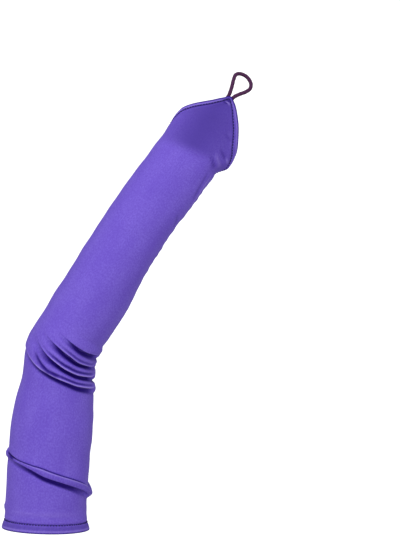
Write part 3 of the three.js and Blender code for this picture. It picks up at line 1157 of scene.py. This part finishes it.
@dataclass(frozen=True)
class Folding:
    """How the cloth goes over the roll and the elbow's folds, in millimetres and degrees.

    Stretched cloth has sharp crests. Bunched cloth, on the thumb side and at the roll's far end, is
    round. Full values: heights and depths that hang, get full painted highlight or shade, per the
    tables.
    """

    under_lowest: float = 8.5
    over_highest: float = 11.0
    round_until: float = 5.0
    sharp_from: float = 26.0
    roll_sharp_until: float = 158.0
    roll_round_from: float = 176.0
    pocket_angle: float = 151.0
    pocket_turn: float = 13.0
    pocket_gain: float = 1.6
    crease_depth: float = 1.1
    # Painted shade in the roll's crease and over the roll's body.
    crease_shade: float = 0.9
    roll_body_shade: float = 0.18
    lobe_margin: float = 2.2
    lobe_power: float = 1.3
    full_hang: float = 3.0
    most_roll_hang: float = 1.2
    most_fold_hang: float = 1.25
    full_highlight: float = 3.2
    full_roll_valley: float = 2.4
    full_valley: float = 2.5
    full_bunched_valley: float = 2.6
    full_groove: float = 2.3
    dip_width: float = 0.14
    lowest_dip: float = 0.25
    lowest_dip_width: float = 0.16
    bunched_highlight: float = 0.5
    steps_to_roll: int = 4
    steps_to_elbow: int = 10

    def roundness(self, angle: Array) -> Array:
        """How round the folds are: 1 on the thumb side, where cloth is bunched, and 0 elsewhere."""
        return 1 - smooth_step(self.round_until, self.sharp_from, away_from_thumb(angle))

    def add_roll(self, rows: Rows) -> None:
        """Adds the rings of the roll above the arm hem.

        Args:
            rows: what the rings are added to.
        """
        names = ("levels", "heights", "valleys", "bands", "shoulders")
        lip, height, valley, band, shoulder = (ROLL.at(name, rows.angles) for name in names)
        rows.spread(lip + ROLL_ROWS[0].past, self.steps_to_roll)
        away = away_from_thumb(rows.angles)
        far = smooth_step(self.roll_sharp_until, self.roll_round_from, away)
        bunched = np.maximum(self.roundness(rows.angles), far)
        pocket = 1 + self.pocket_gain * bump(away - self.pocket_angle, self.pocket_turn)
        middle = lip + band / 2
        reach = band / 2 + self.lobe_margin
        for row in ROLL_ROWS:
            distance = lip + row.band * band + row.past
            crease = row.crease * (1 - bunched) * pocket
            sharp = height * row.height - valley * row.valley + shoulder * row.shoulder
            sharp = sharp - self.crease_depth * crease
            share = np.clip(np.abs(distance - middle) / reach, 0, 1)
            lobe = height * np.cos(math.pi / 2 * share) ** self.lobe_power
            # Painted shade under the lip, in the crease and over the roll's body; a painted highlight
            # below the crease.
            dark = row.valley * valley / self.full_roll_valley
            dark = dark + self.crease_shade * crease + self.roll_body_shade * row.height
            rows.add(
                distance,
                sharp + (lobe - sharp) * bunched,
                row.up * np.minimum(height / self.full_hang, self.most_roll_hang) * (1 - bunched),
                np.clip(dark, 0, 1),
                row.light * np.clip(height / self.full_hang, 0, 1) * (1 - bunched),
            )

    def add_elbow(self, rows: Rows) -> None:
        """Adds the rings of the elbow's folds.

        Args:
            rows: what the rings are added to.
        """
        rows.spread(ELBOW_FOLDS[0].at("levels", rows.angles) - self.under_lowest, self.steps_to_elbow)
        self.add_profile(rows, UNDER_LOWEST, None, ELBOW_FOLDS[0])
        for lower, upper in zip(ELBOW_FOLDS, ELBOW_FOLDS[1:]):
            self.add_profile(rows, BETWEEN_FOLDS, lower, upper)
        self.add_profile(rows, OVER_HIGHEST, ELBOW_FOLDS[-1], None)

    def add_profile(
        self, rows: Rows, profile: tuple[ProfileRow, ...], lower: Fold | None, upper: Fold | None
    ) -> None:
        """Adds the rings from one crest to the next.

        Args:
            rows: what the rings are added to.
            profile: the cloth's path from crest to crest.
            lower: the lower fold, or nothing under the lowest one.
            upper: the upper fold, or nothing above the highest one.
        """

        def size(fold: Fold | None, name: str) -> Array:
            """One of a fold's sizes at each angle, or 0 where there is no fold."""
            return fold.at(name, rows.angles) if fold else np.zeros_like(rows.angles)

        height, groove = size(lower, "heights"), size(lower, "grooves")
        next_height, valley = size(upper, "heights"), size(upper, "valleys")
        start = size(lower, "levels") if lower else size(upper, "levels") - self.under_lowest
        end = size(upper, "levels") if upper else start + self.over_highest
        bunched = self.roundness(rows.angles)
        for row in profile:
            hang = height if row.place < 0.5 else next_height
            painted_highlight = (upper if row.place > 0.5 and upper else lower or upper).light
            sharp = height * row.lower - groove * row.groove
            sharp = sharp + next_height * row.upper - valley * row.valley
            if lower and upper:
                fall = math.cos(math.pi / 2 * row.place) ** 2
                dip = bump(row.place - 0.5, self.dip_width)
                lobe = height * fall + next_height * (1 - fall) - valley * dip
            elif upper:
                dip = bump(row.place - self.lowest_dip, self.lowest_dip_width)
                rise = max((row.place - self.lowest_dip) / (1 - self.lowest_dip), 0)
                lobe = next_height * math.sin(math.pi / 2 * rise) - valley * dip
            else:
                dip = 0.0
                lobe = sharp
            # Painted shade in valleys and grooves, and a painted highlight on crests.
            dark = row.valley * valley / self.full_valley + row.groove * groove / self.full_groove
            dark = dark + (dip * valley / self.full_bunched_valley - dark) * bunched
            shine = np.clip(hang / self.full_highlight, 0, 1) ** 2 * (1 - self.bunched_highlight * bunched)
            rows.add(
                start + (end - start) * row.place,
                sharp + (lobe - sharp) * bunched,
                row.up * np.clip(hang / self.full_hang, 0, self.most_fold_hang) * (1 - bunched),
                np.clip(dark, 0, 1),
                row.light * painted_highlight * shine,
            )


@dataclass(frozen=True)
class Seam:
    """The side seam, a groove with puckers beside it, in millimetres."""

    angle: float = -9.0
    groove_depth: float = 0.4
    groove_width: float = 0.9
    pucker_height: float = 0.26
    pucker_aside: float = 3.2
    pucker_width: float = 3.4
    pucker_pitch: float = 1.9
    drift: float = 2.2
    drift_pitch: float = 13.0
    second_share: float = 0.6
    second_pitch: float = 3.7
    least_share: float = 0.25
    strong_from: tuple[float, float] = (250.0, 320.0)
    strong_until: tuple[float, float] = (405.0, 430.0)

    def relief(self, distance: Array, angle: Array, radius: float) -> Array:
        """How far the cloth stands out because of the seam.

        Args:
            distance: along the arm.
            angle: in degrees from the thumb side.
            radius: of the arm.

        Returns:
            The relief at each point.
        """
        off = np.radians(half_turn(angle - self.angle)) * radius
        drift = self.drift * np.sin(distance / self.drift_pitch)
        pucker = np.sin(distance / self.pucker_pitch + drift)
        pucker = pucker + self.second_share * np.sin(distance / self.second_pitch)
        strong = smooth_step(*self.strong_from, distance)
        strong = strong * (1 - smooth_step(*self.strong_until, distance))
        beside = bump(off - self.pucker_aside, self.pucker_width)
        ripple = self.pucker_height * (self.least_share + strong) * pucker * beside
        return ripple - self.groove_depth * bump(off, self.groove_width)


class EndRow(NamedTuple):
    """A ring beside a hem: how far from it and how far out in millimetres, and how much shade is
    painted.
    """

    away: float
    out: float
    crease: float


ARM_END = table(
    EndRow,
    (0, -1.1, 0.4),
    (0.5, -0.5, 0.2),
    (1.2, 0.1, 0),
    (2.6, 0.4, 0),
    (5, 0.25, 0),
    (9, 0, 0),
)

HAND_END = table(
    EndRow,
    (5, 0, 0),
    (3.2, 0.25, 0),
    (1.8, 0.35, 0),
    (0.9, 0.05, 0),
    (0.35, -0.5, 0.4278),
    (0, -1, 0.7),
)

POINT_HEM_WIDTHS = table(
    AtAngle,
    (-180, 3.6),
    (-120, 4.2),
    (-60, 4.4),
    (0, 5.6),
    (45, 6.1),
    (65, 5.6),
    (80, 4.2),
    (90, 2.9),
    (100, 3.3),
    (130, 3.5),
    (180, 3.6),
)

# Where the painted shade over the back of the hand starts, and how deep it is.
SHADE_STARTS = table(
    AtAngle,
    (0, 432),
    (30, 438),
    (56, 446),
    (76, 443),
    (105, 438),
    (138, 433),
    (180, 428),
)

SHADE_DEPTHS = table(
    AtAngle,
    (0, 0.4),
    (40, 0.5),
    (70, 0.78),
    (100, 1),
    (125, 0.8),
    (150, 0.4),
    (180, 0.2),
)


@dataclass
class Sleeve:
    """The satin tube, one sheet of cloth from hem to hem, with its sizes in millimetres."""

    form: ArmForm
    folding: Folding = Folding()
    seam: Seam = Seam()
    arm_hem_depth: float = 9.0
    columns: int = 192
    row_spacing: float = 2.1
    least_steps: int = 2
    inner_step: int = 2
    thickness: float = 1.2
    inner_out: float = 0.7
    inner_up: float = 0.3
    # Painted shade on the inner face.
    inner_crease_shade: float = 0.4
    inner_shade: float = 0.6
    flat_width: float = 262.0
    flat_length: float = 512.0
    flat_area: float = 0.115
    forearm_end: float = 1.86
    steps_on_forearm: int = 24
    steps_to_hand: int = 16
    hand_ease: float = 1.4
    relief_start: float = 6.0
    shade_softness: float = 9.0
    wave_seed: int = 11
    waves: int = 14
    wave_rates: tuple[float, float] = (0.02, 0.09)
    wave_turns: tuple[int, int] = (-4, 5)
    wave_heights: tuple[float, float] = (0.03, 0.08)

    def rows(self) -> Rows:
        """Lays out the outer face, hem to hem.

        Returns:
            Its rings.
        """
        rows = Rows(closed_angles(self.columns))
        for row in ARM_END:
            rows.add(self.arm_hem_depth + row.away, row.out, crease=row.crease)
        self.folding.add_roll(rows)
        self.folding.add_elbow(rows)
        forearm_end = self.form.distance_of(self.forearm_end)
        rows.spread(forearm_end, self.steps_on_forearm)
        rows.add(forearm_end)
        width = self.hem_width(rows.angles)
        edge = self.form.before_edge(rows.angles, width)
        near = self.form.before_edge(rows.angles, width + HAND_END[0].away)
        rows.spread(near, self.steps_to_hand, self.hand_ease)
        for row in HAND_END:
            share = row.away / HAND_END[0].away
            rows.add(edge + (near - edge) * share, row.out, crease=row.crease)
        return rows

    def hem_width(self, angle: Array) -> Array:
        """Width of the point hem's band at an angle."""
        return round_curve(POINT_HEM_WIDTHS)(half_turn(angle))

    def relief(self, distance: Array, angle: Array) -> tuple[Array, Array]:
        """The small uneven relief of worn cloth.

        Args:
            distance: along the arm.
            angle: in degrees from the thumb side.

        Returns:
            The relief in millimetres, and its painted tint: highlight above 0 and shade below.
        """
        draw = np.random.default_rng(self.wave_seed)
        relief = np.zeros_like(distance)
        tint = np.zeros_like(distance)
        for _ in range(self.waves):
            along, turns = draw.uniform(*self.wave_rates), draw.integers(*self.wave_turns)
            phase, size = draw.uniform(0, 2 * math.pi), draw.uniform(*self.wave_heights)
            relief += size * np.sin(distance * along * math.pi + np.radians(angle) * turns + phase)
        for row in WRINKLES:
            ridge = row.ridge(distance, angle, self.form.upper_arm_width / 2)
            relief += row.height * ridge
            tint += row.tint * ridge
        return relief + self.seam.relief(distance, angle, self.form.forearm_width / 2), tint

    def shade(self, distance: Array, angle: Array) -> Array:
        """How much shade is painted over the back of the hand.

        Args:
            distance: along the arm.
            angle: in degrees from the thumb side.

        Returns:
            The painted shade, 0 to 1.
        """
        around = np.mod(angle, 360)
        past = distance - round_curve(SHADE_STARTS)(around)
        strong = smooth_step(-self.shade_softness, self.shade_softness, past)
        return strong * round_curve(SHADE_DEPTHS)(around) * (around < 180)

    def build(self, material: bpy.types.Material) -> bpy.types.Object:
        """Builds the closed sheet, with an outer and an inner face joined at both hems.

        Args:
            material: the satin.

        Returns:
            The sheet.
        """
        rows = self.rows()
        distance, out, up, crease, light = rows.dense(self.row_spacing, self.least_steps)
        angles = np.broadcast_to(rows.angles, distance.shape)
        uv = cloth_uv(distance, self.columns, self.flat_width)
        relief, tint = self.relief(distance, angles)
        ends = smooth_step(0, self.relief_start, distance - self.arm_hem_depth)
        ends = ends * smooth_step(0, self.relief_start, distance[-1] - distance)
        outer = self.form.displaced(distance, angles, out + relief * ends, up)
        step = self.inner_step
        picked = np.unique(np.append(np.arange(0, len(distance), step), len(distance) - 1))
        inner_distance, inner_angles, inner_out, inner_up, inner_uv = (
            values[picked][:, ::step] for values in (distance, angles, out, up, uv)
        )
        inner_out = inner_out * self.inner_out - self.thickness
        inner = self.form.displaced(inner_distance, inner_angles, inner_out, inner_up * self.inner_up)
        parts = MeshParts()
        # The outer face carries painted shade and painted highlights into the satin's colour.
        first = parts.add_points(
            outer,
            crease=np.clip(crease + np.maximum(-tint, 0), 0, 1),
            shade=self.shade(distance, angles),
            light=np.clip(light + np.maximum(tint, 0), 0, 1),
        )
        second = parts.add_points(inner, crease=self.inner_crease_shade, shade=self.inner_shade, light=0.0)
        parts.add_tube(first, len(distance), self.columns, uv)
        parts.add_tube(second, len(picked), self.columns // step, inner_uv, flip=True)
        self.add_rims(parts, first, second, len(distance), len(picked), uv)
        return parts.make("satin_sleeve", material)

    def add_rims(
        self, parts: MeshParts, first: int, second: int, rows: int, inner_rows: int, uv: Array
    ) -> None:
        """Joins the outer and inner faces round both openings.

        Args:
            parts: what the faces are added to.
            first, second: the numbers of the first outer and the first inner point.
            rows, inner_rows: how many rings each face has.
            uv: the outer face's UV places.
        """
        step, columns = self.inner_step, self.columns
        j = np.arange(0, columns, step)
        inner_j = j // step
        inner_next = (inner_j + 1) % (columns // step)
        for outer_row, inner_row, at_top in ((0, 0, False), (rows - 1, inner_rows - 1, True)):
            a = first + outer_row * columns
            b = second + inner_row * (columns // step)
            ring = [a + j, a + j + 1, a + (j + 2) % columns, b + inner_next, b + inner_j]
            corners = np.stack(ring, axis=-1)
            at = uv[outer_row]
            places = np.stack([at[j], at[j + 1], at[j + 2], at[j + 2], at[j]], axis=-2)
            if at_top:
                corners, places = corners[:, ::-1], places[:, ::-1]
            parts.add_faces(corners, places)


class HemRow(NamedTuple):
    """A place round a hem's section: share of its width from the edge, and depth outwards in mm."""

    share: float
    out: float


HEM_SECTION = table(
    HemRow,
    (1, -0.75),
    (0.95, -0.1),
    (0.86, 0.4),
    (0.66, 0.66),
    (0.4, 0.7),
    (0.18, 0.6),
    (0.05, 0.25),
    (0, -0.35),
    (0.03, -1),
    (0.14, -1.5),
    (0.4, -1.75),
    (0.75, -1.75),
    (0.97, -1.6),
    (1.03, -1.2),
)


class HemWave(NamedTuple):
    """An unevenness round a hem: how often it comes, its phase and its height in millimetres."""

    count: int
    phase: float
    height: float


HEM_WAVES = table(
    HemWave,
    (9, 0.7, 0.12),
    (23, 0, 0.1),
)


@dataclass
class Hem:
    """A turned and stitched band round one of the openings, with its sizes in millimetres."""

    name: str
    sleeve: Sleeve
    at_hand: bool
    columns: int = 224
    section_steps: int = 2
    uv_step: float = 0.7
    groove_share: float = 0.93
    # Painted shade in the stitched groove, at the band's edge and at the point's tip; a painted
    # highlight along the fold.
    groove_shade: float = 0.25
    edge_shade: tuple[float, float] = (0.4, 1.6)
    fold_highlight: float = 0.5
    fold_place: float = 2.2
    fold_width: float = 0.6
    # Painted shade along the arm band and over the back of the point band.
    arm_shade: float = 0.7
    arm_shade_place: float = 0.6
    arm_shade_width: float = 0.35
    hand_shade: float = 0.3
    tip_angle: float = 91.0
    tip_turn: float = 8.0
    tip_shade: tuple[float, float] = (0.35, 0.7)
    stitch_inset: float = 0.25
    stitch_lift: float = 0.1

    def width(self, angle: Array) -> Array:
        """How wide the band is.

        Args:
            angle: in degrees from the thumb side.

        Returns:
            Its width at the angle.
        """
        if self.at_hand:
            return self.sleeve.hem_width(angle)
        return np.zeros_like(angle) + self.sleeve.arm_hem_depth

    def level(self, angle: Array, share: Array) -> Array:
        """Distance along the arm, at a share of the band's width from its edge."""
        inside = self.width(angle) * share
        return self.sleeve.form.before_edge(angle, inside) if self.at_hand else inside

    def tints(self, angles: Array, share: Array, outside: Array) -> dict[str, Array]:
        """How much shade and highlight are painted on the band.

        Args:
            angles: of the columns.
            share: of each row, from the edge.
            outside: whether the row is on the band's outside.

        Returns:
            Crease and shade, both painted shade, and light, a painted highlight.
        """
        from_edge = share * self.width(angles)
        groove = smooth_step(self.groove_share, 1.0, share) * self.groove_shade
        crease = np.maximum(groove, 1 - smooth_step(*self.edge_shade, from_edge))
        shade = self.arm_shade * bump(share - self.arm_shade_place, self.arm_shade_width)
        if self.at_hand:
            tip = bump(angles - self.tip_angle, self.tip_turn) * smooth_step(*self.tip_shade, share)
            crease = np.maximum(crease, tip * outside)
            front = np.radians(np.minimum(np.mod(angles, 360), 180))
            shade = self.hand_shade * np.sin(front) ** 2
        light = bump(from_edge - self.fold_place, self.fold_width) * outside * self.fold_highlight
        return {"crease": crease, "shade": shade, "light": light}

    def build(self, material: bpy.types.Material) -> bpy.types.Object:
        """Builds the band as a closed ring.

        Args:
            material: the turned satin.

        Returns:
            The band.
        """
        angles = closed_angles(self.columns)
        looped = [*HEM_SECTION[-1:], *HEM_SECTION, *HEM_SECTION[:2]]
        places = 1 + np.arange(len(HEM_SECTION) * self.section_steps) / self.section_steps
        section = catmull_rom(np.array(looped), places)
        share, height = section[:, :1], section[:, 1:]
        distance = np.array([self.level(angles, row) for row in share])
        turn = np.radians(angles)
        wave = sum(row.height * np.sin(turn * row.count + row.phase) for row in HEM_WAVES)
        out = height + wave * (height > 0)
        points = self.sleeve.form.displaced(distance, angles, out, 0.0)
        parts = MeshParts()
        first = parts.add_points(points, **self.tints(angles, share, height > 0))
        step = self.uv_step * MM
        around = cloth_uv(distance, self.columns, self.sleeve.flat_width)
        around[..., 1] = (np.arange(len(distance)) * step)[:, None]
        uv = np.concatenate([around, around[-1:] + np.array([0.0, step])])
        parts.add_tube(first, len(distance), self.columns, uv, flip=not self.at_hand, ring=True)
        return parts.make(self.name, material)

    def stitch_line(self) -> Array:
        """Lays out the stitches.

        Returns:
            The closed line that they follow.
        """
        angles = closed_angles(self.columns)
        distance = self.level(angles, 1 - self.stitch_inset / self.width(angles))
        return self.sleeve.form.displaced(distance, angles, self.stitch_lift, 0.0)


@dataclass
class Stitches:
    """A row of stitches along a line, made by Geometry Nodes, with its sizes in millimetres."""

    name: str
    pitch: float = 3.1
    length: float = 1.9
    thickness: float = 1.3
    shortest: float = 0.88
    longest: float = 1.08
    seed: int = 4
    segments: int = 8
    rings: int = 6

    def tree(self) -> bpy.types.GeometryNodeTree:
        """Builds the node tree, with named inputs for the sizes.

        Returns:
            The tree.
        """
        group = bpy.data.node_groups.new(self.name, "GeometryNodeTree")
        for name, kind, way in (
            ("Geometry", "Geometry", "INPUT"),
            ("Pitch", "Float", "INPUT"),
            ("Length", "Float", "INPUT"),
            ("Thickness", "Float", "INPUT"),
            ("Thread", "Material", "INPUT"),
            ("Geometry", "Geometry", "OUTPUT"),
        ):
            group.interface.new_socket(name, in_out=way, socket_type="NodeSocket" + kind)
        tree = NodeTree(group)
        given = tree.node("NodeGroupInput").outputs
        curve = tree.node("GeometryNodeMeshToCurve", {0: given["Geometry"]})
        spacing = {0: curve, "Length": given["Pitch"]}
        spaced = tree.node("GeometryNodeResampleCurve", spacing, mode="LENGTH")
        ball = {"Segments": self.segments, "Rings": self.rings, "Radius": 0.5}
        grain = tree.node("GeometryNodeMeshUVSphere", ball)
        limits = {2: self.shortest, 3: self.longest, "Seed": self.seed}
        vary = tree.value("FunctionNodeRandomValue", limits, 1, data_type="FLOAT")
        thick, long = given["Thickness"], Value(tree, given["Length"]) * vary
        size = tree.node("ShaderNodeCombineXYZ", {0: thick, 1: thick, 2: long})
        tangent = tree.node("GeometryNodeInputTangent")
        turned = tree.node("FunctionNodeAlignRotationToVector", {"Vector": tangent}, axis="Z")
        copies = {"Points": spaced, "Instance": grain, "Rotation": turned, "Scale": size}
        placed = tree.node("GeometryNodeInstanceOnPoints", copies)
        real = tree.node("GeometryNodeRealizeInstances", {0: placed})
        thread = {"Geometry": real, "Material": given["Thread"]}
        tree.node("NodeGroupOutput", {0: tree.node("GeometryNodeSetMaterial", thread)})
        return group

    def build(self, line: Array, material: bpy.types.Material) -> bpy.types.Object:
        """Sews along a closed line.

        Args:
            line: the line's points, in millimetres.
            material: the thread's material.

        Returns:
            The stitches as one plain mesh.
        """
        path = bpy.data.meshes.new(self.name + "_path")
        count = len(line)
        path.from_pydata((line * MM).tolist(), [(i, (i + 1) % count) for i in range(count)], [])
        guide = add_object(self.name + "_path", path)
        modifier = guide.modifiers.new("stitches", "NODES")
        modifier.node_group = self.tree()
        given = {
            "Pitch": self.pitch * MM,
            "Length": self.length * MM,
            "Thickness": self.thickness * MM,
            "Thread": material,
        }
        for item in modifier.node_group.interface.items_tree:
            if item.name in given:
                modifier[item.identifier] = given[item.name]
        bpy.context.view_layer.update()
        evaluated = guide.evaluated_get(bpy.context.evaluated_depsgraph_get())
        mesh = bpy.data.meshes.new_from_object(evaluated)
        guide.modifiers.remove(modifier)
        bpy.data.objects.remove(guide)
        mesh.name = self.name
        mesh.polygons.foreach_set("use_smooth", np.ones(len(mesh.polygons), bool))
        return add_object(self.name, mesh)


class LoopPoint(NamedTuple):
    """A point of the finger loop, in finger widths from the point: along, aside and down."""

    along: float
    aside: float
    down: float


LOOP_ROUTE = table(
    LoopPoint,
    (-0.3, -0.14, 0),
    (-0.08, -0.14, 0),
    (0.15, -0.2, 0.02),
    (0.5, -0.33, 0.1),
    (0.85, -0.5, 0.28),
    (1.12, -0.58, 0.58),
    (1.28, -0.4, 0.9),
    (1.34, 0, 1.06),
    (1.22, 0.42, 0.94),
    (0.98, 0.62, 0.62),
    (0.7, 0.54, 0.3),
    (0.4, 0.34, 0.1),
    (0.12, 0.19, 0.02),
    (-0.1, 0.14, 0),
    (-0.3, 0.14, 0),
)


@dataclass
class FingerLoop:
    """The covered elastic that goes round the middle finger, with its sizes in millimetres."""

    form: ArmForm
    finger_width: float = 17.0
    diameter: float = 4.1
    seat: float = 3.6
    steps_per_point: int = 12
    sides: int = 24
    ribs: int = 6
    rib_height: float = 0.09
    twist_length: float = 1.6

    def route(self) -> Array:
        """Lays out the loop.

        Returns:
            The points of its middle line.
        """
        tip = np.array(self.form.distance_of(3))
        along, thumb, back = self.form.directions(tip)
        start = self.form.displaced(tip, np.array(90.0), -self.seat, 0.0)
        route = np.array(LOOP_ROUTE) * self.finger_width
        points = start + route[:, :1] * along + route[:, 1:2] * thumb - route[:, 2:] * back
        count = (len(points) - 1) * self.steps_per_point
        return catmull_rom(points, np.arange(count + 1) / self.steps_per_point)

    def build(self, material: bpy.types.Material) -> bpy.types.Object:
        """Builds the elastic as a ribbed tube with closed ends.

        Args:
            material: the elastic's cover.

        Returns:
            The loop.
        """
        line = self.route()
        tangents = np.gradient(line, axis=0)
        tangents /= np.linalg.norm(tangents, axis=1, keepdims=True)
        side = np.cross(tangents, [0.0, 1.0, 0.0])
        side /= np.linalg.norm(side, axis=1, keepdims=True)
        other = np.cross(tangents, side)
        length = np.concatenate([[0], np.cumsum(np.linalg.norm(np.diff(line, axis=0), axis=1))])
        turn = np.arange(self.sides) * 2 * math.pi / self.sides
        twist = length[:, None] / self.twist_length
        radius = self.diameter / 2 - 2 * self.rib_height
        for way in (twist, -twist):
            radius = radius + self.rib_height * np.abs(np.sin(turn * self.ribs / 2 + way))
        across = side[:, None] * (radius * np.cos(turn))[..., None]
        across = across + other[:, None] * (radius * np.sin(turn))[..., None]
        parts = MeshParts()
        first = parts.add_points(line[:, None] + across)
        uv = cloth_uv(np.repeat(length[:, None], self.sides, 1), self.sides, math.pi * self.diameter)
        parts.add_tube(first, len(line), self.sides, uv, flip=True)
        parts.add_caps(first, len(line), self.sides, uv, flip=True)
        return parts.make("elastic_loop", material)


# The mitten as a whole


@dataclass
class Mitten:
    """All the pieces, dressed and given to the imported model."""

    form: ArmForm = field(default_factory=ArmForm)

    def build(self) -> None:
        """Builds every piece and says what it stands for."""
        satin = SatinFinish("satin_cloth").make()
        # The hem bands wear a slightly darker copy of the satin: painted shade.
        turned = SatinFinish("satin_shaded_copy", colour=linear(114, 88, 212)).make()
        thread = ThreadFinish("sewing_thread").make()
        elastic = ElasticFinish("covered_elastic").make()
        sleeve_form = Sleeve(self.form)
        arm_band = Hem("arm_hem_band", sleeve_form, at_hand=False)
        point_band = Hem("point_hem_band", sleeve_form, at_hand=True)
        sleeve = sleeve_form.build(satin)
        arm_hem = arm_band.build(turned)
        point_hem = point_band.build(turned)
        arm_stitches = Stitches("arm_hem_stitches").build(arm_band.stitch_line(), thread)
        point_stitches = Stitches("point_hem_stitches").build(point_band.stitch_line(), thread)
        loop = FingerLoop(self.form).build(elastic)
        self.give(sleeve, Slot.SATIN, "upper_sleeve", "forearm_sleeve")
        self.give(arm_hem, Slot.HEM, "arm_hem")
        self.give(point_hem, Slot.HEM, "point_hem")
        self.give(arm_stitches, Slot.HEM)
        self.give(point_stitches, Slot.HEM)
        self.give(loop, Slot.ELASTIC, "finger_loop")
        sleeve_form.flat_width * MM
        sleeve_form.flat_length * MM

    def give(self, piece: bpy.types.Object, slot: Slot, *nodes: str) -> None:
        """Makes a piece ride on the body and stand for its nodes.

        Args:
            piece: the piece.
            slot: its material slot; not used.
            nodes: the nodes that it replaces, if any.
        """
        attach(piece, "root")
        if nodes:
            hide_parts(*nodes)
        log.info("%s: %d vertices", piece.name, len(piece.data.vertices))


# The studio


class SoftBox(NamedTuple):
    """A rectangular light, with its place and size in metres and its power in watts."""

    name: str
    place: tuple[float, float, float]
    power: float
    size: tuple[float, float]


SOFT_BOXES = table(
    SoftBox,
    ("key", (-0.4, -1.7, 2), 27, (1, 0.9)),
    ("fill_left", (-2.3, -1, 0.5), 9.6, (1.6, 1.6)),
    ("fill_right", (2, -2, 0.6), 14, (1.6, 1.6)),
)


@dataclass
class Studio:
    """A round white room, soft lights and the camera, with its sizes in metres."""

    radius: float = 5.0
    floor_height: float = -0.35
    floor_share: float = 0.55
    hub: float = 0.02
    wall_rings: int = 20
    sides: int = 64
    paint: Colour = (0.55, 0.55, 0.55, 1.0)
    paint_roughness: float = 0.9
    backdrop_glow: float = 1.05
    room_glow: float = 0.12
    lens: float = 126.75
    sensor: float = 36.0
    camera_place: tuple[float, float, float] = (0.1629, -2.0, 0.2710)
    aim: tuple[float, float, float] = (0.08, 0.0, 0.24)

    def room(self) -> None:
        """The floor, which curves up into a round wall and a ceiling."""
        flat = self.radius * self.floor_share
        curve = self.radius - flat
        turns = np.linspace(-math.pi / 2, math.pi / 2, self.wall_rings)
        reach = np.concatenate([[self.hub, flat / 2], flat + curve * np.cos(turns), [self.hub]])
        rise = np.concatenate([[0, 0], curve * (1 + np.sin(turns)), [2 * curve]]) + self.floor_height
        turn = np.arange(self.sides) * 2 * math.pi / self.sides
        across = [reach[:, None] * np.cos(turn), reach[:, None] * np.sin(turn)]
        level = np.broadcast_to(rise[:, None], (len(rise), self.sides))
        parts = MeshParts()
        first = parts.add_points(np.stack([*across, level], axis=-1) / MM)
        uv = np.zeros((len(reach), self.sides + 1, 2))
        parts.add_tube(first, len(reach), self.sides, uv)
        parts.add_caps(first, len(reach), self.sides, uv)
        parts.make("studio_room", self.room_finish())

    def room_finish(self) -> bpy.types.Material:
        """White paint that the camera sees as plain white.

        Returns:
            The material.
        """
        shader = Shader("studio_white")
        seen = shader.value("ShaderNodeLightPath", output="Is Camera Ray")
        return shader.finish(
            {
                "Base Color": self.paint,
                "Roughness": self.paint_roughness,
                "Emission Color": seen * (self.backdrop_glow - self.room_glow) + self.room_glow,
                "Emission Strength": 1.0,
            }
        )

    def light(self, box: SoftBox) -> None:
        """Aims a soft box at the mitten.

        Args:
            box: its name, place, power and size.
        """
        lamp = bpy.data.lights.new(box.name, "AREA")
        lamp.shape = "RECTANGLE"
        lamp.size, lamp.size_y = box.size
        lamp.energy = box.power
        made = add_object(box.name, lamp)
        made.location = box.place
        towards = Vector(self.aim) - Vector(box.place)
        made.rotation_euler = towards.to_track_quat("-Z", "Y").to_euler()

    def camera(self) -> None:
        """The camera, level with the middle of the arm."""
        data = bpy.data.cameras.new("camera")
        data.lens = self.lens
        data.sensor_width = self.sensor
        made = add_object("camera", data)
        made.location = self.camera_place
        made.rotation_euler = (math.radians(90), 0.0, 0.0)
        bpy.context.scene.camera = made

    def build(self) -> None:
        """Sets up the room, the lights and the camera."""
        self.room()
        for box in SOFT_BOXES:
            self.light(box)
        self.camera()
        bpy.context.scene.view_settings.view_transform = "Standard"


def main() -> None:
    """Builds the studio and the mitten in order."""
    logging.basicConfig(level=logging.INFO)
    Studio().build()
    Mitten().build()


if __name__ == "__main__":
    main()
